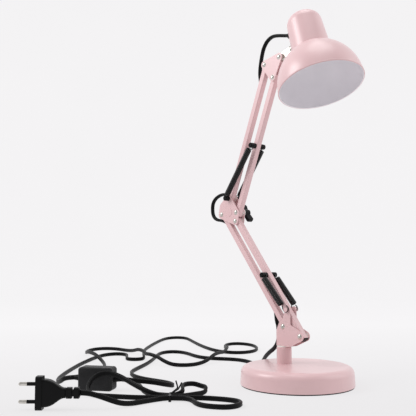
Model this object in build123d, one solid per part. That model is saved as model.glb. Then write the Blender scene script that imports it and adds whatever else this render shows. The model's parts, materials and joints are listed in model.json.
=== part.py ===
from build123d import *
import os
from math import asin, cos, degrees, pi, radians, sin, sqrt, tan

# Jointed desk lamp on a round weighted base, with two sprung parallelogram arms.
# Origin: centre of the base's underside. +Z up, +X towards the head, +Y along the pivots, away from the viewer.
# The arms lie in the plane Y = 0. All sizes in millimetres.

# Base and post
BASE_RADIUS = 72.5
BASE_TOP_RADIUS = 71.3
BASE_HEIGHT = 25.0
BASE_ROUND = 9.0
BASE_WALL = 1.5
PAD_THICKNESS = 1.5
PAD_INSET = 1.0
WEIGHT_RADIUS = 60.0
WEIGHT_THICKNESS = 14.0
POST_X = -22.5
POST_RADIUS = 9.75
POST_HEIGHT = 21.5
SPIGOT_RADIUS = 7.0
NUT_THICKNESS = 5.0
NUT_RADIUS = 11.5
STEM_RADIUS = 5.0
STEM_DEPTH = 36.0
SWIVEL_WASHER = 1.2

# Fits
RUN_FIT = 0.05
SEAT_FIT = 0.02
FACE_GAP = 0.1

# Arms: square tubes, pivot to pivot, and how they lean in the photographed pose
TUBE = 8.0
TUBE_WALL = 0.8
TUBE_CORNER = 1.0
TUBE_OVERHANG = 4.6
ARM = 194.0
LOWER_LEAN = -38.4
UPPER_LEAN = 22.5
SPRING_PIN_AT = 98.0
SLOT_NEAR = 15.0
SLOT_FAR = 38.0
ELBOW_SLOT_SHIFT = 13.0
SLOT_WIDTH = 5.2
END_PLUG_HEAD = 1.2
ELBOW_PLUG_HEAD = 0.4

# Pivots in the arm plane (x, z): the rear one of each pair, and the step to its front partner
BRACKET_REAR = (-18.6, 72.6)
LOWER_STEP = (29.0, -10.6)
ELBOW_RISE = (15.2, 22.6)
UPPER_STEP = (15.5, -21.0)
HEAD_STEP = (27.9, 4.5)
HORN_TIP = (-10.0, 95.0)

# Pressed plates, rivets and washers
PLATE = 1.2
PLATE_INNER = 5.3
PLATE_OUTER = PLATE_INNER + PLATE
PIVOT_RADIUS = 2.0
RIVET_HEAD = 3.6
RIVET_DOME = 1.7
WASHER_RADIUS = 4.5
WEB = 2.0
WEB_REAR = -30.0
WEB_FRONT = -7.0

# Springs and the bobbins that hold their hooks
WIRE = 1.8
COIL_RADIUS = 3.4
HOOK_RADIUS = 3.3
HOOK_SHANK = 3.0
EYE_RADIUS = 4.2
SPRING_Y = 12.0
LOWER_TURNS = 19
UPPER_TURNS = 29
BOBBIN_RADIUS = 3.6
GROOVE_INNER = 7.4
GROOVE_OUTER = 9.8
GROOVE_RADIUS = 2.35
BOBBIN_OUTER = 14.0

# Wing knob on the elbow
KNOB_HUB = 6.0
KNOB_HEIGHT = 10.0
KNOB_SPAN = 29.0
KNOB_WING = 5.0
KNOB_TURN = 35.0
KNOB_WASHER = 1.4

# Head: shade axis leans back from vertical and a little sideways
SHADE_LEAN = -19.7
SHADE_ROLL = -3.2
SHADE_RADIUS = 55.0
DOME_HEIGHT = 59.5
SHADE_WALL = 1.0
CAP_LOW_RADIUS = 25.0
CAP_SEAT_LIP = 0.882353
CAP_SEAT = CAP_LOW_RADIUS + CAP_SEAT_LIP
DOME_CUT = DOME_HEIGHT * sqrt(1 - (CAP_SEAT / SHADE_RADIUS) ** 2)
CAP_TOP_RADIUS = 22.4
CAP_HEIGHT = 55.5
CAP_ROUND = 15.0
CAP_WALL = 1.2
HINGE_REACH = 49.3
HINGE_LEVEL = 73.9
LUG_HALF = 3.0
LUG_EYE = 5.0
STUD_RADIUS = 3.0
HOLDER_RADIUS = 18.4
HOLDER_SHOULDER = 21.0
HOLDER_HEIGHT = 40.0
HOLDER_DROP = 6.0
SOCKET_RADIUS = 13.3
SOCKET_DEPTH = 30.0
GLAND_RADIUS = 3.6
GLAND_LENGTH = 9.0
GLAND_LEVEL = 92.0
GLAND_RISE = 33.0
GLAND_SEAT = CAP_LOW_RADIUS - (CAP_LOW_RADIUS - CAP_TOP_RADIUS) * (GLAND_LEVEL - DOME_CUT) / CAP_HEIGHT - 0.3

# Lead: a hexagonal tube as wide as the cord
LEAD = 4.4
LEAD_SIDES = 6
LEAD_REST = LEAD / 2
TUBE_LEAD_INSET = 40.0

# The table layout of the lead is given along the hank (u) and behind it (v)
HANK_CENTRE = (-28.0, -181.0)
HANK_HEADING = 50.0
HANK_STEP = 5.0
HANK_LIFT = 1.3
TIE_WIDTH = 3.0
TIE_THICKNESS = 0.9

# In-line switch, standing on its long edge, and the plug, standing on its narrow edge
SWITCH_AT = (-93.0, 63.0)
SWITCH_TURN = -12.0
SWITCH_LENGTH = 44.0
SWITCH_HEIGHT = 28.0
SWITCH_DEPTH = 19.0
SWITCH_ROUND = 4.0
SWITCH_GLAND = 8.0
ROCKER_LENGTH = 18.4
ROCKER_HEIGHT = 10.0
ROCKER_GAP = 0.7
ROCKER_TILT = 7.0
PLUG_AT = (-132.5, -50.0)
PLUG_HEIGHT = 35.3
PLUG_WIDTH = 13.7
PLUG_FLANGE = 7.0
PLUG_BODY = 24.0
PLUG_RELIEF = 15.5
PIN_LENGTH = 19.0
PIN_SLEEVE = 10.0
PIN_ROOT = 6.0
PLUG_PIN_RADIUS = 2.0
PIN_SLEEVE_RADIUS = 2.0
PIN_PITCH = 18.6


def along(start, lean, distance, offset=0.0):
    """Point in the arm plane, a distance along a tube that leans, and an offset to its front."""
    turn = radians(lean)
    return (
        start[0] + distance * sin(turn) + offset * cos(turn),
        start[1] + distance * cos(turn) - offset * sin(turn),
    )


def shifted(start, step):
    return (start[0] + step[0], start[1] + step[1])


BRACKET_FRONT = shifted(BRACKET_REAR, LOWER_STEP)
ELBOW_LOW_REAR = along(BRACKET_REAR, LOWER_LEAN, ARM)
ELBOW_LOW_FRONT = shifted(ELBOW_LOW_REAR, LOWER_STEP)
ELBOW_TOP_REAR = shifted(ELBOW_LOW_REAR, ELBOW_RISE)
ELBOW_TOP_FRONT = shifted(ELBOW_TOP_REAR, UPPER_STEP)
YOKE_REAR = along(ELBOW_TOP_REAR, UPPER_LEAN, ARM)
YOKE_FRONT = shifted(YOKE_REAR, UPPER_STEP)
HEAD_HINGE = shifted(YOKE_REAR, HEAD_STEP)
LOWER_SPRING_PIN = along(BRACKET_FRONT, LOWER_LEAN, SPRING_PIN_AT)
UPPER_SPRING_PIN = along(ELBOW_TOP_FRONT, UPPER_LEAN, SPRING_PIN_AT)

POST_TOP = BASE_HEIGHT + POST_HEIGHT
WEB_BOTTOM = POST_TOP + SWIVEL_WASHER + FACE_GAP
WEB_TOP = WEB_BOTTOM + WEB

parts = {}


# Small shape helpers


def disc(point, radius):
    return Pos(*point) * Circle(radius)


def hull(*discs):
    return make_hull([edge for one in discs for edge in one.edges()])


def slab(outline, low, high):
    """Extrude an outline drawn in (x, z) from Y = low to Y = high."""
    plane = Plane(origin=(0, high, 0), x_dir=(1, 0, 0), z_dir=(0, -1, 0))
    return extrude(plane * outline, high - low)


def rod(point, radius, low, high):
    return slab(disc(point, radius), low, high)


def turned(point, outline):
    """Revolve an outline drawn in (radius, y) about the pivot axis through a point of the arm plane."""
    return Pos(point[0], 0, point[1]) * revolve(outline, Axis.Y)


def spun(outline):
    """Revolve an outline drawn in (radius, z) about Z."""
    return revolve(Plane.XZ * outline, Axis.Z)


def both_sides(solid):
    return [solid, mirror(solid, Plane.XZ)]


def dome(half, way):
    """Arc of a rivet's spherical head, from its rim outside a plate to its crown."""
    sphere = (RIVET_HEAD**2 + RIVET_DOME**2) / (2 * RIVET_DOME)
    centre = half + RIVET_DOME - sphere
    turn = asin(RIVET_HEAD / sphere) / 2
    middle = (sphere * sin(turn), way * (centre + sphere * cos(turn)))
    return ThreePointArc((RIVET_HEAD, way * half), middle, (0, way * (half + RIVET_DOME)))


def domed_rivet(point, half):
    """Rivet with a low domed head outside each plate."""
    profile = make_face(
        [
            dome(half, -1),
            Polyline((RIVET_HEAD, -half), (PIVOT_RADIUS, -half), (PIVOT_RADIUS, half), (RIVET_HEAD, half)),
            dome(half, 1),
            Line((0, half + RIVET_DOME), (0, -half - RIVET_DOME)),
        ]
    )
    return turned(point, profile)


def pivot_washers(point):
    ring = disc(point, WASHER_RADIUS) - disc(point, PIVOT_RADIUS + SEAT_FIT)
    return both_sides(slab(ring, TUBE / 2 + FACE_GAP, PLATE_INNER))


def bobbin(point, inner, bore):
    """Grooved black bobbin on the far end of a spring pin."""
    crown = 0.8
    profile = Polyline(
        (bore, inner),
        (BOBBIN_RADIUS, inner),
        (BOBBIN_RADIUS, GROOVE_INNER),
        (GROOVE_RADIUS, GROOVE_INNER),
        (GROOVE_RADIUS, GROOVE_OUTER),
        (BOBBIN_RADIUS, GROOVE_OUTER),
        (BOBBIN_RADIUS, BOBBIN_OUTER - crown),
        (BOBBIN_RADIUS - crown, BOBBIN_OUTER),
        (0, BOBBIN_OUTER),
        (0, BOBBIN_OUTER - 1.5),
        (bore, BOBBIN_OUTER - 1.5),
        close=True,
    )
    return turned(point, make_face(profile))


def biarc(start, leave, end, arrive):
    """Two tangent arcs from a point and heading to another point and heading."""
    span = end - start
    turn = 2 * (1 - leave.dot(arrive))
    reach = span.dot(leave + arrive)
    if turn < 1e-9:
        if span.normalized().dot(leave) > 1 - 1e-9:
            return [Edge.make_line(start, end)]
        pull = span.dot(span) / (2 * reach)
    else:
        pull = (-reach + sqrt(reach * reach + turn * span.dot(span))) / turn
    first = start + leave * pull
    second = end - arrive * pull
    middle = (first + second) * 0.5
    heading = (second - first).normalized()
    return [Edge.make_tangent_arc(start, leave, middle), Edge.make_tangent_arc(middle, heading, end)]


def biarc_path(stations):
    edges = []
    for (start, leave), (end, arrive) in zip(stations, stations[1:]):
        edges += biarc(start, leave, end, arrive)
    return Wire(edges)


def swept(path, radius, sides):
    return sweep(Plane(path ^ 0) * RegularPolygon(radius, sides), path=path)


def least_gap(path, diameter, step, apart):
    """Least gap of a wound tube to itself, between points that lie apart along it."""
    count = int(path.length / step)
    points = [path @ (index / count) for index in range(count + 1)]
    skip = int(apart / step)
    least = 1e9
    for index, point in enumerate(points):
        for other in points[index + skip:]:
            least = min(least, (point - other).length)
    return least - diameter


def cord_path(points):
    """Straight runs joined by the largest tangent arcs that they allow."""
    corners = [Vector(*point) for point in points]
    radii = []
    for before, here, after in zip(corners, corners[1:], corners[2:]):
        turn = radians((here - before).get_angle(after - here))
        shorter = min((here - before).length, (after - here).length)
        radii.append(0.45 * shorter / tan(turn / 2))
    return FilletPolyline(*corners, radius=radii), radii


def cord_tube(name, points):
    path, radii = cord_path(points)
    solid = swept(path, LEAD / 2, LEAD_SIDES)
    section = RegularPolygon(LEAD / 2, LEAD_SIDES).area
    share = solid.volume / (section * path.length)
    print(f"{name}: length {path.length:.0f}, least radius {min(radii):.1f}, volume over section x length {share:.3f}")
    return solid


def in_plane(points):
    """Points of the arm plane as 3D points."""
    return [(x, 0.0, z) for x, z in points]


def laid(u, v, z=LEAD_REST):
    """Point of the table layout, along and behind the hank."""
    turn = radians(HANK_HEADING)
    return (
        HANK_CENTRE[0] + u * cos(turn) - v * sin(turn),
        HANK_CENTRE[1] + u * sin(turn) + v * cos(turn),
        z,
    )


# Base, weight, post and swivel


def make_base():
    side = Polyline((0, PAD_THICKNESS), (BASE_RADIUS, PAD_THICKNESS), (BASE_TOP_RADIUS, BASE_HEIGHT), (0, BASE_HEIGHT), close=True)
    face = make_face(side)
    corner = face.vertices().sort_by(Axis.X)[-2:].sort_by(Axis.Y)[-1]
    body = spun(fillet(corner, BASE_ROUND))
    shell = offset(body, amount=-BASE_WALL, openings=body.faces().sort_by(Axis.Z)[0])
    under_top = BASE_HEIGHT - BASE_WALL
    weight_low = under_top - WEIGHT_THICKNESS
    nut_low = weight_low - NUT_THICKNESS
    hole = Pos(POST_X, 0, 0) * Cylinder(SPIGOT_RADIUS + SEAT_FIT, 2 * BASE_HEIGHT)
    parts["base_shell"] = shell - hole
    weight = Pos(0, 0, weight_low + WEIGHT_THICKNESS / 2) * Cylinder(WEIGHT_RADIUS, WEIGHT_THICKNESS)
    parts["base_weight"] = chamfer(weight.edges().group_by(Axis.Z)[-1], 1.5) - hole
    parts["base_pad"] = Pos(0, 0, PAD_THICKNESS / 2) * Cylinder(BASE_RADIUS - PAD_INSET, PAD_THICKNESS)

    bore = STEM_RADIUS + RUN_FIT
    bore_low = POST_TOP - STEM_DEPTH
    post = make_face(
        Polyline(
            (bore, POST_TOP),
            (POST_RADIUS - 1, POST_TOP),
            (POST_RADIUS, POST_TOP - 1),
            (POST_RADIUS, BASE_HEIGHT),
            (SPIGOT_RADIUS, BASE_HEIGHT),
            (SPIGOT_RADIUS, nut_low),
            (0, nut_low),
            (0, bore_low),
            (bore, bore_low),
            close=True,
        )
    )
    at_post = Pos(POST_X, 0, 0)
    parts["base_post"] = at_post * spun(post)
    nut = RegularPolygon(NUT_RADIUS, 6) - Circle(SPIGOT_RADIUS + SEAT_FIT)
    parts["post_nut"] = at_post * Pos(0, 0, nut_low) * extrude(nut, NUT_THICKNESS)
    washer = Circle(POST_RADIUS - 0.6) - Circle(bore)
    parts["swivel_washer"] = at_post * Pos(0, 0, POST_TOP) * extrude(washer, SWIVEL_WASHER)

    neck = STEM_RADIUS - 1
    stem = make_face(
        Polyline(
            (0, bore_low + 1),
            (STEM_RADIUS, bore_low + 1),
            (STEM_RADIUS, WEB_BOTTOM),
            (neck, WEB_BOTTOM),
            (neck, WEB_TOP),
            (STEM_RADIUS, WEB_TOP),
            (STEM_RADIUS - 1, WEB_TOP + 1.5),
            (0, WEB_TOP + 1.5),
            close=True,
        )
    )
    parts["swivel_stem"] = at_post * spun(stem)


# Lower bracket: a folded cheek on each side of a web, each with a horn


def make_bracket():
    foot = Polyline(
        (WEB_REAR, WEB_BOTTOM),
        (WEB_FRONT, WEB_BOTTOM),
        (WEB_FRONT, WEB_BOTTOM + 20),
        (WEB_REAR, WEB_BOTTOM + 20),
        close=True,
    )
    foot = make_face(foot)
    rear_eye = disc(BRACKET_REAR, 8.0)
    front_eye = disc(BRACKET_FRONT, 6.2)
    toe = disc((WEB_FRONT, WEB_BOTTOM + 3), 3.0)
    horn_root = disc(shifted(BRACKET_REAR, (5.5, 2.5)), 8.0)
    horn = hull(horn_root, disc(HORN_TIP, 3.8))
    cheek = hull(rear_eye, foot) + hull(rear_eye, front_eye, toe) + horn
    for point in (BRACKET_REAR, BRACKET_FRONT):
        cheek -= disc(point, PIVOT_RADIUS + SEAT_FIT)
    cheeks = both_sides(slab(cheek, PLATE_INNER, PLATE_OUTER))
    web_size = (WEB_FRONT - WEB_REAR, 2 * PLATE_INNER, WEB)
    web = Pos((WEB_FRONT + WEB_REAR) / 2, 0, WEB_BOTTOM + WEB / 2) * Box(*web_size)
    web -= Pos(POST_X, 0, WEB_BOTTOM) * Cylinder(STEM_RADIUS - 1 + SEAT_FIT, 4 * WEB)
    stud = rod(HORN_TIP, PIVOT_RADIUS, PLATE_INNER, GROOVE_OUTER + 1.2) + rod(HORN_TIP, 3.0, GROOVE_OUTER, GROOVE_OUTER + 1.2)
    studs = both_sides(stud)
    parts["lower_bracket"] = cheeks[0] + cheeks[1] + web + studs[0] + studs[1]

    pivots = (BRACKET_REAR, BRACKET_FRONT)
    parts["bracket_rivets"] = Compound([domed_rivet(point, PLATE_OUTER) for point in pivots])
    parts["bracket_washers"] = Compound([one for point in pivots for one in pivot_washers(point)])


# Arm tubes


def square_tube(start, lean, slots, pin):
    """Square tube from one pivot to the next, with lead slots in its rear face or a spring pin hole."""
    length = ARM + 2 * TUBE_OVERHANG
    outer = RectangleRounded(TUBE, TUBE, TUBE_CORNER)
    inner = Rectangle(TUBE - 2 * TUBE_WALL, TUBE - 2 * TUBE_WALL)
    tube = Pos(0, 0, -TUBE_OVERHANG) * extrude(outer - inner, length)
    across = Rot(90, 0, 0) * Cylinder(PIVOT_RADIUS + RUN_FIT, 2 * TUBE)
    tube -= across + Pos(0, 0, ARM) * across
    if pin:
        tube -= Pos(0, 0, SPRING_PIN_AT) * Rot(90, 0, 0) * Cylinder(PIVOT_RADIUS + SEAT_FIT, 2 * TUBE)
    for middle in slots:
        tube -= Pos(-TUBE / 2, 0, middle) * Box(TUBE, SLOT_WIDTH, SLOT_FAR - SLOT_NEAR)
    return Pos(start[0], 0, start[1]) * Rot(0, lean, 0) * tube


def make_arm(name, rear, front, lean, pin, slots):
    parts[f"{name}_rear_tube"] = square_tube(rear, lean, slots, False)
    parts[f"{name}_front_tube"] = square_tube(front, lean, (), True)
    reach = BOBBIN_OUTER - 2
    parts[f"{name}_spring_pin"] = rod(pin, PIVOT_RADIUS, -reach, reach)
    spool = bobbin(pin, TUBE / 2 + FACE_GAP, PIVOT_RADIUS + SEAT_FIT)
    parts[f"{name}_pin_bobbins"] = Compound(both_sides(spool))


def make_tube_plugs():
    """Black plugs that close both ends of the lower front tube."""
    inside = TUBE - 2 * TUBE_WALL - 2 * SEAT_FIT
    stem = extrude(Rectangle(inside, inside), TUBE_OVERHANG - PIVOT_RADIUS - 0.6)

    def plug(head):
        return stem + extrude(RectangleRounded(TUBE - 0.4, TUBE - 0.4, TUBE_CORNER), -head)

    bottom = Pos(0, 0, -TUBE_OVERHANG) * plug(END_PLUG_HEAD)
    top = Pos(0, 0, ARM + TUBE_OVERHANG) * Rot(180, 0, 0) * plug(ELBOW_PLUG_HEAD)
    ends = [bottom, top]
    place = Pos(BRACKET_FRONT[0], 0, BRACKET_FRONT[1]) * Rot(0, LOWER_LEAN, 0)
    parts["lower_front_plugs"] = Compound([place * end for end in ends])


# Springs: a hook, the turns and a hook, in one wire


def spring_path(low, high, turns, eye, inside):
    """Wire from an eye round the lower pin to a hook round the upper pin, on the +Y side of the arm."""
    span = Vector(high[0] - low[0], 0, high[1] - low[1])
    ahead = span.normalized()
    slack = eye - WIRE / 2 - inside - RUN_FIT
    start = Vector(low[0], SPRING_Y - COIL_RADIUS, low[1]) + ahead * slack
    length = span.length - slack
    out = Vector(0, 1, 0)
    side = ahead.cross(out)

    def at(forward, sideways, outward=0.0):
        return start + ahead * forward + side * sideways + out * outward

    coil_start = HOOK_SHANK + eye
    coil_end = HOOK_SHANK + HOOK_RADIUS
    pitch = (length - coil_start - coil_end) / turns
    stations = [
        (at(WIRE, -eye), ahead * -1),
        (at(0, -eye), ahead * -1),
        (at(-eye, 0), side),
        (at(0, eye), ahead),
        (at(HOOK_SHANK * 0.5, eye), ahead),
    ]
    rise = pitch / (2 * pi)
    for quarter in range(2 * turns + 1):
        turn = quarter * pi
        place = at(coil_start + rise * turn, -COIL_RADIUS * sin(turn), COIL_RADIUS * (1 - cos(turn)))
        heading = side * (-COIL_RADIUS * cos(turn)) + out * (COIL_RADIUS * sin(turn)) + ahead * rise
        stations.append((place, heading.normalized()))
    stations += [
        (at(length - HOOK_SHANK * 0.5, -HOOK_RADIUS), ahead),
        (at(length, -HOOK_RADIUS), ahead),
        (at(length + HOOK_RADIUS, 0), side),
        (at(length, HOOK_RADIUS), ahead * -1),
        (at(length - WIRE, HOOK_RADIUS), ahead * -1),
    ]
    return biarc_path(stations), pitch


def make_springs(name, low, high, turns, eye, inside):
    path, pitch = spring_path(low, high, turns, eye, inside)
    solid = swept(path, WIRE / 2, 4)
    gap = least_gap(path, WIRE, 0.8, 6.0)
    print(f"{name} spring: {turns} turns, pitch {pitch:.2f}, least gap to itself {gap:.2f}")
    parts[f"{name}_springs"] = Compound(both_sides(solid))


# Elbow: two plates, rivets, the spring pin and the clamp with its wing knob


def make_elbow():
    pivots = (ELBOW_LOW_REAR, ELBOW_LOW_FRONT, ELBOW_TOP_FRONT, ELBOW_TOP_REAR)
    rear_bulge = disc(shifted(ELBOW_LOW_REAR, (4.1, 10.0)), 7.9)
    outline = hull(rear_bulge, *[disc(point, radius) for point, radius in zip(pivots, (6.0, 5.6, 5.6, 5.0))])
    for point in pivots:
        outline -= disc(point, PIVOT_RADIUS + SEAT_FIT)
    middle = ((ELBOW_LOW_REAR[0] + ELBOW_TOP_FRONT[0]) / 2 + 1.5, ELBOW_LOW_REAR[1] + 2.5)
    plate = slab(outline, PLATE_INNER, PLATE_OUTER)
    boss = rod(middle, 6.0, PLATE_OUTER - 0.2, PLATE_OUTER + 0.5)
    far, near = both_sides(plate + chamfer(boss.edges().group_by(Axis.Y)[-1], 0.4))
    parts["elbow_plate_far"] = far
    parts["elbow_plate_near"] = near
    parts["elbow_rivets"] = Compound([domed_rivet(point, PLATE_OUTER) for point in pivots[:2]])
    washers = [one for point in pivots for one in pivot_washers(point)]
    reach = BOBBIN_OUTER - 2
    parts["elbow_spring_pin"] = rod(ELBOW_TOP_REAR, PIVOT_RADIUS, -reach, reach)
    spool = bobbin(ELBOW_TOP_REAR, PLATE_OUTER, PIVOT_RADIUS + SEAT_FIT)
    parts["elbow_bobbins"] = Compound(both_sides(spool))

    knob_low = PLATE_OUTER + KNOB_WASHER
    knob_high = knob_low + KNOB_HEIGHT
    bolt_head = make_face(
        [
            Line((0, -PLATE_OUTER - RIVET_DOME), (0, knob_high - 2)),
            Polyline(
                (0, knob_high - 2),
                (PIVOT_RADIUS, knob_high - 2),
                (PIVOT_RADIUS, -PLATE_OUTER),
                (RIVET_HEAD, -PLATE_OUTER),
            ),
            dome(PLATE_OUTER, -1),
        ]
    )
    parts["elbow_bolt"] = turned(ELBOW_TOP_FRONT, bolt_head)
    ring = disc(ELBOW_TOP_FRONT, 5.4) - disc(ELBOW_TOP_FRONT, PIVOT_RADIUS + SEAT_FIT)
    parts["elbow_washers"] = Compound(washers + [slab(ring, PLATE_OUTER, knob_low - FACE_GAP)])
    hub = extrude(Circle(KNOB_HUB), KNOB_HEIGHT, taper=6)
    end = KNOB_SPAN / 2
    half = [(0.0, KNOB_HEIGHT - 1.0), (5.0, KNOB_HEIGHT + 1.0), (end - 3.0, KNOB_HEIGHT + 2.5), (end, KNOB_HEIGHT)]
    half += [(end, 2.5), (end - 3.0, 1.0)]
    outline = Polyline(*half, *[(-x, y) for x, y in reversed(half[1:])], close=True)
    blade = extrude(make_face(outline), KNOB_WING)
    blade = chamfer(blade.faces().sort_by(Axis.Z)[0].edges() + blade.faces().sort_by(Axis.Z)[-1].edges(), 0.7)
    knob = hub + Pos(0, KNOB_WING / 2, 0) * Rot(90, 0, 0) * blade
    knob -= Cylinder(PIVOT_RADIUS + RUN_FIT, 2 * (KNOB_HEIGHT - 2))
    place = Pos(ELBOW_TOP_FRONT[0], knob_low, ELBOW_TOP_FRONT[1]) * Rot(-90, 0, 0) * Rot(0, 0, 90 - KNOB_TURN)
    parts["wing_knob"] = place * knob


# Head: yoke plates, hinge lug, shade, cap and lamp holder


def make_yoke():
    pivots = (YOKE_REAR, YOKE_FRONT, HEAD_HINGE)
    outline = hull(*[disc(point, radius) for point, radius in zip(pivots, (5.2, 5.0, 5.4))])
    for point in pivots:
        outline -= disc(point, PIVOT_RADIUS + SEAT_FIT)
    far, near = both_sides(slab(outline, PLATE_INNER, PLATE_OUTER))
    parts["yoke_plate_far"] = far
    parts["yoke_plate_near"] = near
    parts["yoke_rivets"] = Compound([domed_rivet(point, PLATE_OUTER) for point in pivots[:2]])
    washers = [one for point in pivots[:2] for one in pivot_washers(point)]
    parts["head_bolt"] = domed_rivet(HEAD_HINGE, PLATE_OUTER)
    ring = disc(HEAD_HINGE, WASHER_RADIUS) - disc(HEAD_HINGE, PIVOT_RADIUS + SEAT_FIT)
    parts["yoke_washers"] = Compound(washers + both_sides(slab(ring, LUG_HALF + FACE_GAP, PLATE_INNER)))


def lug_place():
    """Location of the hinge lug: as the shade's, but square to the hinge."""
    return Pos(HEAD_HINGE[0], 0, HEAD_HINGE[1]) * Rot(0, SHADE_LEAN, 0) * Pos(HINGE_REACH, 0, -HINGE_LEVEL)


def shade_place():
    """Location of the shade: its own Z runs up its axis from the middle of the rim, its own X to the front."""
    return lug_place() * Pos(0, 0, HINGE_LEVEL) * Rot(SHADE_ROLL, 0, 0) * Pos(0, 0, -HINGE_LEVEL)


def dome_outline(radius, height, cut):
    """Quarter ellipse from the rim up to a level, as points on arcs."""
    steps = 6
    top = degrees(asin(cut / height))
    return [
        (radius * cos(radians(top * step / steps)), height * sin(radians(top * step / steps)))
        for step in range(steps + 1)
    ]


def make_head():
    place = shade_place()
    outer = dome_outline(SHADE_RADIUS, DOME_HEIGHT, DOME_CUT)
    inner = dome_outline(SHADE_RADIUS - SHADE_WALL, DOME_HEIGHT - SHADE_WALL, DOME_CUT - SHADE_WALL)
    neck = HOLDER_RADIUS + SEAT_FIT
    wall = make_face(
        [
            Spline(*outer),
            Polyline(outer[-1], (neck, DOME_CUT), (neck, DOME_CUT - SHADE_WALL), inner[-1]),
            Spline(*reversed(inner)),
            Line(inner[0], outer[0]),
        ]
    )
    bead = spun(Pos(SHADE_RADIUS - SHADE_WALL / 2, 0) * Circle(SHADE_WALL))
    parts["shade_dome"] = place * (spun(wall) + bead)

    cap_top = DOME_CUT + CAP_HEIGHT
    cup = make_face(
        Polyline((0, DOME_CUT), (CAP_LOW_RADIUS, DOME_CUT), (CAP_TOP_RADIUS, cap_top), (0, cap_top), close=True)
    )
    corner = cup.vertices().sort_by(Axis.X)[-2:].sort_by(Axis.Y)[-1]
    body = spun(fillet(corner, CAP_ROUND))
    cap = offset(body, amount=-CAP_WALL, openings=body.faces().sort_by(Axis.Z)[0])
    stud_hole = Pos(-CAP_LOW_RADIUS, 0, HINGE_LEVEL) * Rot(0, 90, 0) * Cylinder(STUD_RADIUS + SEAT_FIT, 12)
    gland_axis = Pos(-GLAND_SEAT, 0, GLAND_LEVEL) * Rot(0, -90 + GLAND_RISE, 0)
    gland_hole = gland_axis * Cylinder(GLAND_RADIUS + SEAT_FIT, 14)
    parts["socket_cap"] = place * (cap - stud_hole - gland_hole)

    collar = GLAND_RADIUS + 1.2
    ledge = collar * tan(radians(GLAND_RISE)) + FACE_GAP
    gland_body = make_face(
        Polyline(
            (LEAD / 2 + SEAT_FIT, -5.5),
            (GLAND_RADIUS, -5.5),
            (GLAND_RADIUS, ledge),
            (collar, ledge),
            (collar, ledge + 1.6),
            (LEAD / 2 + 0.6, GLAND_LENGTH),
            (LEAD / 2 + SEAT_FIT, GLAND_LENGTH),
            close=True,
        )
    )
    parts["cord_gland"] = place * gland_axis * spun(gland_body)

    eye_face = Pos(-HINGE_REACH, HINGE_LEVEL) * Circle(LUG_EYE)
    arm_end = -CAP_LOW_RADIUS - 5.0
    neck_face = hull(eye_face, Pos(arm_end, HINGE_LEVEL) * Circle(STUD_RADIUS + 0.6))
    lug = slab(neck_face - Pos(-HINGE_REACH, HINGE_LEVEL) * Circle(PIVOT_RADIUS + RUN_FIT), -LUG_HALF, LUG_HALF)
    stud_end = -CAP_LOW_RADIUS + 7.0
    stud = Pos(arm_end - 2, 0, HINGE_LEVEL) * Rot(0, 90, 0) * extrude(Circle(STUD_RADIUS), stud_end - arm_end + 2)
    collar_solid = Pos(arm_end, 0, HINGE_LEVEL) * Rot(0, 90, 0) * extrude(Circle(STUD_RADIUS + 2.5), 6.0)
    clear_body = Pos(0, 0, HINGE_LEVEL) * Rot(SHADE_ROLL, 0, 0) * Pos(0, 0, -HINGE_LEVEL) * offset(body, amount=0.15)
    parts["hinge_lug"] = lug_place() * (lug + stud + (collar_solid - clear_body))
    nut = RegularPolygon(5.2, 6) - Circle(STUD_RADIUS + SEAT_FIT)
    nut_at = -CAP_LOW_RADIUS + CAP_WALL + 1.9
    parts["lug_nut"] = place * Pos(nut_at, 0, HINGE_LEVEL) * Rot(0, 90, 0) * extrude(nut, 2.6)

    low = DOME_CUT - HOLDER_DROP
    high = low + HOLDER_HEIGHT
    seat = DOME_CUT
    holder = make_face(
        Polyline(
            (SOCKET_RADIUS, low),
            (HOLDER_RADIUS, low),
            (HOLDER_RADIUS, seat),
            (HOLDER_SHOULDER, seat),
            (HOLDER_SHOULDER, seat + 12),
            (HOLDER_RADIUS - 1, seat + 16),
            (HOLDER_RADIUS - 3, high),
            (0, high),
            (0, low + SOCKET_DEPTH),
            (SOCKET_RADIUS, low + SOCKET_DEPTH),
            close=True,
        )
    )
    parts["lamp_holder"] = place * spun(holder)
    ring = Circle(HOLDER_RADIUS + 4) - Circle(HOLDER_RADIUS + SEAT_FIT)
    parts["shade_ring"] = place * Pos(0, 0, low + 0.8) * extrude(ring, HOLDER_DROP - SHADE_WALL - 0.8)


# Lead held by the lamp: loops at the head and elbow, and the straight stretches in the rear tubes


def slot_route(pivot, lean, up, shift=0.0):
    """From inside a rear tube out through its slot, measured from the pivot at that end."""
    sign = 1 if up else -1
    stations = ((TUBE_LEAD_INSET, 0.0), (34.0 - shift, 0.0), (24.5 - shift, -3.6), (15.5 - shift, -9.6))
    return [along(pivot, lean, sign * distance, offset) for distance, offset in stations]


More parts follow.
